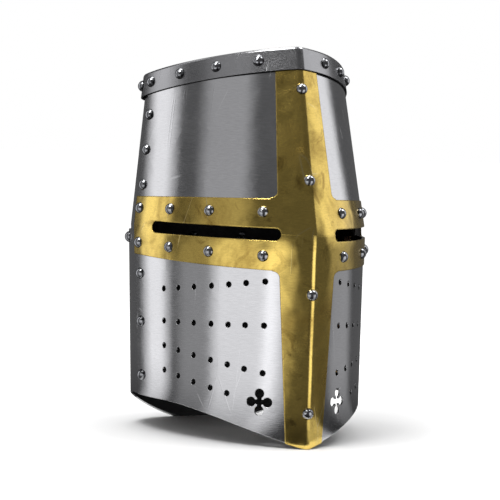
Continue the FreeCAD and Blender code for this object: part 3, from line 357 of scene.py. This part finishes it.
def polished_steel(name, base):
    """Peened and polished rivet heads: small facets from the hammer, a dark film here and there, and painted
    shade round their feet and on their inner faces.
    """
    finish = Finish(name)
    facets = finish.cells(330.0, "SMOOTH_F1")
    film = finish.noise(240.0, 4.0, 0.6)
    shade = finish.blend(finish.range(film, 0.45, 0.75, 0.0, 0.6), colour(base), colour(base, 0.3))
    # Painted shade round the foot of each head
    shade = finish.blend(finish.corners(2 * PAINTED_SHADE_REACH, 0.88, 0.5), shade, colour(base, 0.02))
    # Painted shade on the faces that look into the helm
    shade = finish.blend(finish.inside(), shade, colour(base, 0.12))
    rough = finish.range(film, 0.3, 0.75, 0.08, 0.20)
    normal = finish.bump(facets, 0.00016)
    finish.set(Base_Color=shade, Metallic=1.0, Roughness=rough, Normal=normal)
    return finish.material


def cast_brass(name, base, tarnish):
    """Cast buckle: grainy, with tarnish in soft clouds."""
    finish = Finish(name)
    pits = finish.noise(700.0, 4.0, 0.6)
    clouds = finish.noise(90.0, 4.0, 0.6)
    shade = finish.blend(finish.range(clouds, 0.35, 0.75, 0.0, 0.7), colour(base), colour(tarnish))
    rough = finish.range(pits, 0.3, 0.7, 0.26, 0.46)
    finish.set(Base_Color=shade, Metallic=1.0, Roughness=rough, Normal=finish.bump(pits, 0.00008))
    return finish.material


def hide_leather(name, hide, cut_edge):
    """Tanned hide: pores and creases on its faces, pale fibres where the attribute marks a cut edge."""
    finish = Finish(name)
    edge = finish.add("ShaderNodeAttribute", attribute_name="cut_edge").outputs["Fac"]
    pores = finish.cells(900.0)
    creases = finish.noise(160.0, 6.0, 0.62, 1.2)
    clouds = finish.noise(26.0, 4.0, 0.55)
    fibres = finish.noise(1300.0, 3.0, 0.7)
    face = finish.blend(finish.range(clouds, 0.3, 0.7), colour(hide, 0.75), colour(hide, 1.35))
    face = finish.blend(finish.range(creases, 0.52, 0.72, 0.0, 0.6), face, colour(hide, 0.5))
    rim = finish.blend(finish.range(fibres, 0.3, 0.7), colour(cut_edge, 0.65), colour(cut_edge, 1.15))
    frayed = finish.sum("ADD", edge, finish.range(fibres, 0.35, 0.65, -0.25, 0.25))
    share = finish.range(frayed, 0.35, 0.6)
    shade = finish.blend(share, face, rim)
    rough = finish.range(creases, 0.3, 0.7, 0.48, 0.68)
    rough = finish.sum("ADD", rough, finish.sum("MULTIPLY", share, 0.25))
    normal = finish.bump(creases, 0.00035)
    normal = finish.bump(pores, 0.00012, normal)
    normal = finish.bump(fibres, 0.00006, normal)
    finish.set(Base_Color=shade, Roughness=rough, Normal=normal, Sheen_Weight=0.12)
    finish.shader.inputs["Specular IOR Level"].default_value = 0.38
    return finish.material


def twisted_fibre(name, base, scale):
    """Waxed thread or rawhide: fine twist, with painted shade in the low parts of the twist."""
    finish = Finish(name)
    twist = finish.noise(scale, 3.0, 0.6, vector=finish.stretched((1, 1, 1), (0.6, 0.6, 0.3)))
    # Painted shade in the low parts of the twist, where the bump sinks
    shade = finish.blend(finish.range(twist, 0.35, 0.65), colour(base, 0.55), colour(base, 1.1))
    finish.set(Base_Color=shade, Roughness=0.62, Normal=finish.bump(twist, 0.0001))
    return finish.material


# Modelling

def select_only(*objects):
    bpy.ops.object.select_all(action="DESELECT")
    for each in objects:
        each.select_set(True)
    bpy.context.view_layer.objects.active = objects[0]


def apply_modifier(piece, name, kind, **settings):
    modifier = piece.modifiers.new(name, kind)
    for key, value in settings.items():
        setattr(modifier, key, value)
    select_only(piece)
    bpy.ops.object.modifier_apply(modifier=modifier.name)


def dress(piece, material):
    piece.data.materials.clear()
    piece.data.materials.append(material)


def finish_node(name, material):
    """A carried node keeps its shape and gets a finish."""
    node = NODES[name]
    if node.data.materials:
        for index in range(len(node.data.materials)):
            node.data.materials[index] = material
    else:
        node.data.materials.append(material)


def solid_copy(node, name):
    """A piece of its own in the place of a node, with its loose triangles merged."""
    piece = bpy.data.objects.new(name, NODES[node].data.copy())
    bpy.context.scene.collection.objects.link(piece)
    select_only(piece)
    bpy.ops.mesh.customdata_custom_splitnormals_clear()
    bpy.ops.object.mode_set(mode="EDIT")
    bpy.ops.mesh.select_all(action="SELECT")
    bpy.ops.mesh.remove_doubles(threshold=0.01 * MM)
    bpy.ops.mesh.normals_make_consistent(inside=False)
    bpy.ops.object.mode_set(mode="OBJECT")
    return piece


def mark_cut_edges(piece, thickness):
    """Point attribute that is 1 on the cut edges of a sheet and 0 on its two faces."""
    mesh = piece.data
    tree = BVHTree.FromPolygons([v.co for v in mesh.vertices], [p.vertices for p in mesh.polygons])
    attribute = mesh.attributes.new("cut_edge", "FLOAT", "POINT")
    start = thickness * 0.1
    for vertex in mesh.vertices:
        normal = vertex.normal
        depth = tree.ray_cast(vertex.co - normal * start, -normal)[3]
        attribute.data[vertex.index].value = 1.0 if depth is None or depth > 1.5 * thickness else 0.0


def leather_piece(node, name, voxel, thickness, material, ripple):
    """Leather in the shape of a node: even mesh, worn round edges and a slight ripple."""
    piece = solid_copy(node, name)
    apply_modifier(piece, "even", "REMESH", mode="VOXEL", voxel_size=voxel)
    mark_cut_edges(piece, thickness)
    apply_modifier(piece, "worn", "SMOOTH", factor=0.5, iterations=3)
    texture = bpy.data.textures.new(name + "_ripple", type="CLOUDS")
    texture.noise_scale = 0.03
    apply_modifier(piece, "ripple", "DISPLACE", texture=texture, texture_coords="LOCAL", strength=ripple)
    bpy.data.textures.remove(texture)
    select_only(piece)
    bpy.ops.object.shade_smooth()
    dress(piece, material)
    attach(piece, "helm")
    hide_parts(node)
    return piece


def hit_tree(pieces):
    """Ray target made of several pieces."""
    points, faces = [], []
    for piece in pieces:
        base = len(points)
        points += [vertex.co.copy() for vertex in piece.data.vertices]
        faces += [[base + index for index in polygon.vertices] for polygon in piece.data.polygons]
    return BVHTree.FromPolygons(points, faces)


def one_stitch(length, thickness):
    """A stitch along X: a ball drawn out and flattened."""
    bpy.ops.object.select_all(action="DESELECT")
    bpy.ops.mesh.primitive_uv_sphere_add(segments=8, ring_count=6, radius=thickness / 2)
    stitch = bpy.context.object
    bpy.ops.object.mode_set(mode="EDIT")
    bpy.ops.mesh.select_all(action="SELECT")
    bpy.ops.transform.rotate(value=math.pi / 2, orient_axis="Y", center_override=(0, 0, 0))
    bpy.ops.transform.resize(value=(length / thickness, 1.0, 0.8), center_override=(0, 0, 0))
    bpy.ops.object.mode_set(mode="OBJECT")
    return stitch


def stitches_along(points, normals, pitch, pattern):
    """Copies of a stitch set at an even pitch along a line of surface points."""
    made = []
    travelled = pitch / 2
    for (a, b), normal in zip(zip(points, points[1:]), normals):
        span = (b - a).length
        while travelled < span:
            along = (b - a).normalized()
            across = normal.cross(along).normalized()
            up = along.cross(across)
            turn = Matrix((along, across, up)).transposed().to_4x4()
            stitch = bpy.data.objects.new("stitch", pattern.data.copy())
            stitch.data.transform(Matrix.Translation(a + along * travelled) @ turn)
            bpy.context.scene.collection.objects.link(stitch)
            made.append(stitch)
            travelled += pitch
        travelled -= span
    return made


def joined(objects, name):
    select_only(*objects)
    bpy.ops.object.join()
    piece = bpy.context.object
    piece.name = name
    piece.data.name = name
    bpy.ops.object.shade_smooth()
    return piece


def seam_round(tree, middle, height, steps, pitch, pattern):
    """A seam round the inside of the lining at one height."""
    points, normals = [], []
    for step in range(steps + 1):
        angle = 2 * math.pi * step / steps
        hit, normal, _, _ = tree.ray_cast(Vector((middle.x, middle.y, height)),
                                          Vector((math.sin(angle), -math.cos(angle), 0)))
        if hit:
            points.append(hit)
            normals.append(normal)
    return stitches_along(points, normals, pitch, pattern)


# Operators

class HELM_OT_plates(bpy.types.Operator):
    """Gives the five steel plates their satin finish"""

    bl_idname = "helm.plates"
    bl_label = "Steel plates"

    def execute(self, context):
        look = context.scene.helm_metal
        material = plate_steel("plate steel", look.steel, look.steel_roughness)
        for name in PLATES[1:]:
            finish_node(name, material)
        finish_node("crown_plate", plate_steel("crown steel", look.crown, look.crown_roughness))
        return {"FINISHED"}


class HELM_OT_cross(bpy.types.Operator):
    """Gives the cross its planished and tarnished brass"""

    bl_idname = "helm.cross"
    bl_label = "Brass cross"

    def execute(self, context):
        look = context.scene.helm_metal
        finish_node("brass_cross", cross_brass("cross brass", look.brass, look.tarnish, look.brass_roughness))
        return {"FINISHED"}


class HELM_OT_rivets(bpy.types.Operator):
    """Polishes the rivet heads and the washers"""

    bl_idname = "helm.rivets"
    bl_label = "Rivets and washers"

    def execute(self, context):
        material = polished_steel("rivet steel", context.scene.helm_metal.rivet)
        for name in RIVETS + ("liner_washers",):
            finish_node(name, material)
        return {"FINISHED"}


class HELM_OT_buckle(bpy.types.Operator):
    """Gives the buckle's frame and prong their cast brass"""

    bl_idname = "helm.buckle"
    bl_label = "Buckle"

    def execute(self, context):
        look = context.scene.helm_metal
        material = cast_brass("buckle brass", look.brass, look.tarnish)
        finish_node("buckle_frame", material)
        finish_node("buckle_prong", material)
        return {"FINISHED"}


class HELM_OT_lining(bpy.types.Operator):
    """Makes the leather headband, its eight tongues and the seams that hold them"""

    bl_idname = "helm.lining"
    bl_label = "Lining"

    band_voxel = 1.0 * MM
    band_thickness = 2.2 * MM
    tongue_voxel = 0.8 * MM
    tongue_thickness = 1.8 * MM
    seam_inset = 3.2 * MM
    seam_steps = 360

    def execute(self, context):
        look = context.scene.helm_leather
        material = hide_leather("lining leather", look.hide, look.cut_edge)
        band = leather_piece("liner_band", "lining_headband", self.band_voxel, self.band_thickness, material,
                             look.ripple)
        tongues = [leather_piece(node, node.replace("liner", "lining"), self.tongue_voxel,
                                 self.tongue_thickness, material, look.ripple) for node in TONGUES]
        low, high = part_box("liner_band")
        tree = hit_tree([band] + tongues)
        pattern = one_stitch(look.stitch_length, look.stitch_thickness)
        middle = (low + high) / 2
        made = []
        for height in (low.z + self.seam_inset, high.z - self.seam_inset):
            made += seam_round(tree, middle, height, self.seam_steps, look.stitch_pitch, pattern)
        bpy.data.objects.remove(pattern)
        seams = joined(made, "lining_seams")
        dress(seams, twisted_fibre("waxed thread", look.thread, 1800.0))
        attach(seams, "helm")
        return {"FINISHED"}


class HELM_OT_lace(bpy.types.Operator):
    """Makes the lace through the loops of the tongues, with its knot"""

    bl_idname = "helm.lace"
    bl_label = "Lace"

    radius = 1.15 * MM
    knot_radius = 1.0 * MM
    knot_size = 1.35 * MM
    knot_turns = 64
    wander = 0.35 * MM

    def execute(self, context):
        look = context.scene.helm_leather
        low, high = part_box("liner_lace")
        middle = (low + high) / 2
        ring_radius = (high.x - low.x) / 2 - self.radius
        middle.y = low.y + self.radius + ring_radius
        bpy.ops.object.select_all(action="DESELECT")
        bpy.ops.mesh.primitive_torus_add(major_radius=ring_radius, minor_radius=self.radius, location=middle,
                                         major_segments=look.lace_facets, minor_segments=12)
        ring = bpy.context.object
        bpy.ops.object.transform_apply(location=True, rotation=True, scale=True)
        texture = bpy.data.textures.new("lace_wander", type="CLOUDS")
        texture.noise_scale = 0.02
        apply_modifier(ring, "wander", "DISPLACE", texture=texture, texture_coords="LOCAL",
                       strength=self.wander)
        bpy.data.textures.remove(texture)
        knot = self.knot(Vector((middle.x, middle.y + ring_radius, middle.z)))
        lace = joined([ring, knot], "lining_lace")
        dress(lace, twisted_fibre("rawhide", look.lace, 1200.0))
        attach(lace, "helm")
        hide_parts("liner_lace")
        return {"FINISHED"}

    def knot(self, place):
        """Overhand knot: a three-lobed closed curve given the lace's thickness."""
        curve = bpy.data.curves.new("knot", "CURVE")
        curve.dimensions = "3D"
        curve.bevel_depth = self.knot_radius
        curve.bevel_resolution = 3
        spline = curve.splines.new("NURBS")
        spline.points.add(self.knot_turns - 1)
        for index, point in enumerate(spline.points):
            t = 2 * math.pi * index / self.knot_turns
            across = math.sin(t) + 2 * math.sin(2 * t)
            up = math.cos(t) - 2 * math.cos(2 * t)
            depth = -math.sin(3 * t)
            point.co = (place + Vector((depth, across, up)) * self.knot_size).to_4d()
            point.co.w = 1.0
        spline.use_cyclic_u = True
        spline.order_u = 4
        knot = bpy.data.objects.new("knot", curve)
        bpy.context.scene.collection.objects.link(knot)
        select_only(knot)
        bpy.ops.object.convert(target="MESH")
        return bpy.context.object


class HELM_OT_chin_strap(bpy.types.Operator):
    """Makes the two halves of the chin strap, the keeper and the stitching of the fold"""

    bl_idname = "helm.chin_strap"
    bl_label = "Chin strap"

    voxel = 0.55 * MM
    keeper_voxel = 0.4 * MM
    thickness = 2.0 * MM
    keeper_thickness = 1.1 * MM
    seam_half = 6.2 * MM
    seam_top = 32.0 * MM
    seam_bottom = 26.5 * MM
    step = 0.5 * MM

    def execute(self, context):
        look = context.scene.helm_leather
        material = hide_leather("strap leather", look.hide, look.cut_edge)
        left = leather_piece("chin_strap_left", "strap_buckle_end", self.voxel, self.thickness, material,
                             look.ripple)
        leather_piece("chin_strap_right", "strap_point_end", self.voxel, self.thickness, material,
                      look.ripple)
        leather_piece("strap_keeper", "strap_loop", self.keeper_voxel, self.keeper_thickness, material,
                      look.ripple / 4)
        seam = self.seam(left, look)
        dress(seam, twisted_fibre("strap thread", look.thread, 1800.0))
        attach(seam, "helm")
        return {"FINISHED"}

    def seam(self, strap, look):
        """Stitches across the folded end, above the keeper."""
        joint = frame["joints"][0]
        bar = Vector(joint["pos_m"])
        along = Vector(joint["axis"]).normalized()
        tree = hit_tree([strap])
        pattern = one_stitch(look.stitch_length * 0.7, look.stitch_thickness)
        made = []
        for height in (self.seam_bottom, self.seam_top):
            points, normals = [], []
            count = int(2 * self.seam_half / self.step)
            for index in range(count + 1):
                place = bar + along * (index * self.step - self.seam_half)
                start = Vector((0.0, place.y, place.z + height))
                hit, normal, _, _ = tree.ray_cast(start, Vector((1.0, 0.0, 0.0)))
                if hit:
                    points.append(hit)
                    normals.append(normal)
            made += stitches_along(points, normals, look.stitch_pitch * 0.65, pattern)
        bpy.data.objects.remove(pattern)
        return joined(made, "strap_seam")


class HELM_OT_stage(bpy.types.Operator):
    """Sets the floor, the lamps, the studio walls and the camera"""

    bl_idname = "helm.stage"
    bl_label = "Stage"

    # Soft boxes: azimuth and half width in degrees, lower and upper edge in metres, glow
    boxes = (
        ("side strip", 124, 9, 0.0, 0.9, 1.0),
        ("bench front", 60, 20, 0.0, 0.2, 0.85),
        ("bench fill", 92, 14, 0.0, 0.2, 0.2),
        ("high front", 80, 16, 0.2, 0.9, 0.3),
        ("narrow front", 38, 7, 0.0, 0.2, 0.7),
        ("by the camera", -27, 18, 0.0, 0.2, 1.2),
        ("behind", 198, 9, 0.0, 0.9, 0.5),
        ("far low", 272, 14, 0.0, 0.2, 0.25),
        ("far high", 272, 18, 0.2, 0.9, 0.9),
    )
    box_edge = 9.0  # degrees over which a soft box fades
    gloom = 0.1  # between the soft boxes
    ceiling_glow = 0.34
    ceiling_height = 2.4

    # The bowl from its foot to its top: distance from the middle, height, share of the glow
    bowl = (
        (0.13, 2 * MM, 0.35),
        (0.42, 2 * MM, 0.85),
        (0.42, 0.03, 1.0),
        (0.42, 0.115, 1.0),
        (0.42, 0.17, 1.0),
        (0.50, 0.24, 1.0),
        (0.56, 0.42, 1.0),
        (0.58, 0.52, 1.0),
        (0.60, 0.85, 1.0),
    )
    bowl_step = 2  # degrees

    def execute(self, context):
        look = context.scene.helm_stage
        self.world(context.scene)
        self.floor(look)
        self.lamps()
        self.studio()
        self.canopy()
        self.camera(context.scene, look)
        context.scene.view_settings.view_transform = "Standard"
        return {"FINISHED"}

    def seen_share(self, tree):
        """1 for rays from the camera, from gloss and through glass, 0 for the rest."""
        path = tree.nodes.new("ShaderNodeLightPath")
        total = path.outputs["Is Camera Ray"]
        for name in ("Is Glossy Ray", "Is Transmission Ray"):
            node = tree.nodes.new("ShaderNodeMath")
            node.operation = "MAXIMUM"
            tree.links.new(total, node.inputs[0])
            tree.links.new(path.outputs[name], node.inputs[1])
            total = node.outputs["Value"]
        return total

    def world(self, scene):
        """White to look at, and a plain even light on the object."""
        light_level = 0.55
        world = bpy.data.worlds.new("studio")
        world.use_nodes = True
        tree = world.node_tree
        background = tree.nodes["Background"]
        level = tree.nodes.new("ShaderNodeMapRange")
        level.inputs["To Min"].default_value = light_level
        level.inputs["To Max"].default_value = 1.0
        tree.links.new(self.seen_share(tree), level.inputs["Value"])
        tree.links.new(level.outputs["Result"], background.inputs["Strength"])
        background.inputs["Color"].default_value = (1.0, 1.0, 1.0, 1.0)
        scene.world = world

    def floor(self, look):
        """Pale floor just under the helm; part of its white is its own to the eye, so it keeps the shadow."""
        shine = 0.56
        dark_reach, full_reach = 0.14, 0.50
        bpy.ops.object.select_all(action="DESELECT")
        bpy.ops.mesh.primitive_plane_add(size=look.floor, location=(0, 0, FRAME_LOW.z))
        floor = bpy.context.object
        floor.name = "floor"
        finish = Finish("pale floor")
        cloud = finish.noise(3.0, 2.0)
        shade = finish.blend(cloud, (0.87, 0.87, 0.87, 1), (0.90, 0.90, 0.90, 1))
        finish.set(Base_Color=shade, Roughness=0.9)
        finish.shader.inputs["Specular IOR Level"].default_value = 0.1
        finish.shader.inputs["Emission Color"].default_value = (1, 1, 1, 1)
        spread = finish.add("ShaderNodeVectorMath", operation="LENGTH")
        finish.join(finish.place, spread.inputs[0])
        shine = finish.range(spread.outputs["Value"], dark_reach, full_reach, 0.0, shine)
        finish.set(Emission_Strength=finish.sum("MULTIPLY", self.seen_share(finish.tree), shine))
        self.open_from_below(finish)
        dress(floor, finish.material)

    def open_from_below(self, finish):
        """Lets the eye through where the floor is seen from its lower side."""
        below = finish.add("ShaderNodeNewGeometry").outputs["Backfacing"]
        eye = finish.add("ShaderNodeLightPath").outputs["Is Camera Ray"]
        pane = finish.add("ShaderNodeMixShader")
        finish.join(finish.sum("MULTIPLY", below, eye), pane.inputs["Fac"])
        finish.join(finish.shader.outputs["BSDF"], pane.inputs[1])
        finish.join(finish.add("ShaderNodeBsdfTransparent").outputs["BSDF"], pane.inputs[2])
        finish.join(pane.outputs["Shader"], finish.tree.nodes["Material Output"].inputs["Surface"])

    def lamps(self):
        """Soft lamps high on both sides and over the crown."""
        lamps = (
            ("key", 62.0, 58.0, 1.7, 0.7, 16.0),
            ("fill", -75.0, 55.0, 1.7, 0.7, 9.0),
            ("top", 180.0, 80.0, 1.8, 0.8, 10.0),
        )
        for name, azimuth, rise, distance, size, power in lamps:
            data = bpy.data.lights.new(name, "AREA")
            data.shape = "SQUARE"
            data.size = size
            data.energy = power
            lamp = bpy.data.objects.new(name, data)
            bpy.context.scene.collection.objects.link(lamp)
            place = around(azimuth, rise, distance)
            lamp.location = place + Vector((0, 0, 0.17))
            lamp.rotation_mode = "QUATERNION"
            lamp.rotation_quaternion = (-place).to_track_quat("-Z", "Y")

    def glow_at(self, azimuth, height):
        """Glow of the studio's wall at a place."""
        level = self.gloom
        for _, middle, half, low, high, strength in self.boxes:
            past = abs((azimuth - middle + 180) % 360 - 180) - half
            if low <= height <= high:
                level += strength * min(max(0.5 - past / self.box_edge, 0.0), 1.0)
        return level

    def studio(self):
        """A bowl round the helm that only its metal reflects, lit by soft boxes."""
        count = 360 // self.bowl_step
        bpy.ops.object.select_all(action="DESELECT")
        bpy.ops.mesh.primitive_grid_add(x_subdivisions=count, y_subdivisions=len(self.bowl) - 1)
        studio = bpy.context.object
        studio.name = "studio"
        glow = studio.data.attributes.new("glow", "FLOAT", "POINT")
        for index, vertex in enumerate(studio.data.vertices):
            row, column = divmod(index, count + 1)
            reach, height, share = self.bowl[row]
            azimuth = self.bowl_step * column
            vertex.co = around(azimuth, 0.0, reach) + Vector((0, 0, height))
            glow.data[index].value = self.glow_at(azimuth, height) * share
        self.show_in_gloss(studio)

    def canopy(self):
        """Dark ceiling over the lamps."""
        bpy.ops.object.select_all(action="DESELECT")
        bpy.ops.mesh.primitive_circle_add(vertices=48, radius=5.0, fill_type="NGON",
                                          location=(0, 0, self.ceiling_height))
        canopy = bpy.context.object
        canopy.name = "canopy"
        glow = canopy.data.attributes.new("glow", "FLOAT", "POINT")
        for value in glow.data:
            value.value = self.ceiling_glow
        self.show_in_gloss(canopy)

    def show_in_gloss(self, card):
        """A glow that only metal sees, as strong as the card's glow attribute says."""
        material = bpy.data.materials.new(card.name)
        material.use_nodes = True
        nodes = material.node_tree.nodes
        nodes.remove(nodes["Principled BSDF"])
        level = nodes.new("ShaderNodeAttribute")
        level.attribute_name = "glow"
        glow = nodes.new("ShaderNodeEmission")
        glow.inputs["Color"].default_value = (1.0, 1.0, 1.02, 1.0)
        material.node_tree.links.new(level.outputs["Fac"], glow.inputs["Strength"])
        material.node_tree.links.new(glow.outputs["Emission"], nodes["Material Output"].inputs["Surface"])
        dress(card, material)
        card.visible_camera = False
        card.visible_diffuse = False
        card.visible_transmission = False
        card.visible_shadow = False
        card.visible_volume_scatter = False

    def camera(self, scene, look):
        """Camera that turns about the aim, then slides so that the aim sits off the middle of the view."""
        ahead = Vector((math.sin(look.turn), math.cos(look.turn), 0))
        side = Vector((math.cos(look.turn), -math.sin(look.turn), 0))
        up = Vector((0, 0, 1))
        view = ahead * math.cos(look.fall) - up * math.sin(look.fall)
        tall = ahead * math.sin(look.fall) + up * math.cos(look.fall)
        right = side * math.cos(look.roll) + tall * math.sin(look.roll)
        over = -side * math.sin(look.roll) + tall * math.cos(look.roll)
        place = Vector(look.aim) - right * look.offset[0] - over * look.offset[1] - view * look.distance
        data = bpy.data.cameras.new("camera")
        data.lens = look.lens
        data.sensor_width = 36.0
        data.clip_start = 0.05
        data.clip_end = 100.0
        camera = bpy.data.objects.new("camera", data)
        scene.collection.objects.link(camera)
        turn = Matrix((right, over, -view)).transposed().to_4x4()
        camera.matrix_world = Matrix.Translation(place) @ turn
        scene.camera = camera


def around(azimuth, rise, distance):
    """Place round the helm: azimuth 0 is straight ahead of the face, 90 the wearer's right."""
    turn, lift = math.radians(azimuth), math.radians(rise)
    away = Vector((-math.sin(turn) * math.cos(lift), -math.cos(turn) * math.cos(lift), math.sin(lift)))
    return away * distance


class HELM_PT_panel(bpy.types.Panel):
    """Shows the settings of the helm and a button for each step"""

    bl_idname = "HELM_PT_panel"
    bl_label = "Great helm"
    bl_space_type = "VIEW_3D"
    bl_region_type = "UI"
    bl_category = "Helm"

    def draw(self, context):
        for group in (context.scene.helm_metal, context.scene.helm_leather, context.scene.helm_stage):
            box = self.layout.box()
            for key in group.bl_rna.properties.keys():
                if key not in ("rna_type", "name"):
                    box.prop(group, key)
        for operator in STEPS:
            self.layout.operator(operator.bl_idname)


STEPS = (HELM_OT_stage, HELM_OT_plates, HELM_OT_cross, HELM_OT_rivets, HELM_OT_buckle, HELM_OT_lining,
         HELM_OT_lace, HELM_OT_chin_strap)
GROUPS = (HelmMetal, HelmLeather, HelmStage)
CLASSES = GROUPS + STEPS + (HELM_PT_panel,)


def register():
    for each in CLASSES:
        bpy.utils.register_class(each)
    bpy.types.Scene.helm_metal = PointerProperty(type=HelmMetal)
    bpy.types.Scene.helm_leather = PointerProperty(type=HelmLeather)
    bpy.types.Scene.helm_stage = PointerProperty(type=HelmStage)


def unregister():
    del bpy.types.Scene.helm_metal
    del bpy.types.Scene.helm_leather
    del bpy.types.Scene.helm_stage
    for each in reversed(CLASSES):
        bpy.utils.unregister_class(each)


def main():
    register()
    bpy.ops.helm.stage()
    bpy.ops.helm.plates()
    bpy.ops.helm.cross()
    bpy.ops.helm.rivets()
    bpy.ops.helm.buckle()
    bpy.ops.helm.lining()
    bpy.ops.helm.lace()
    bpy.ops.helm.chin_strap()


if __name__ == "__main__":
    main()
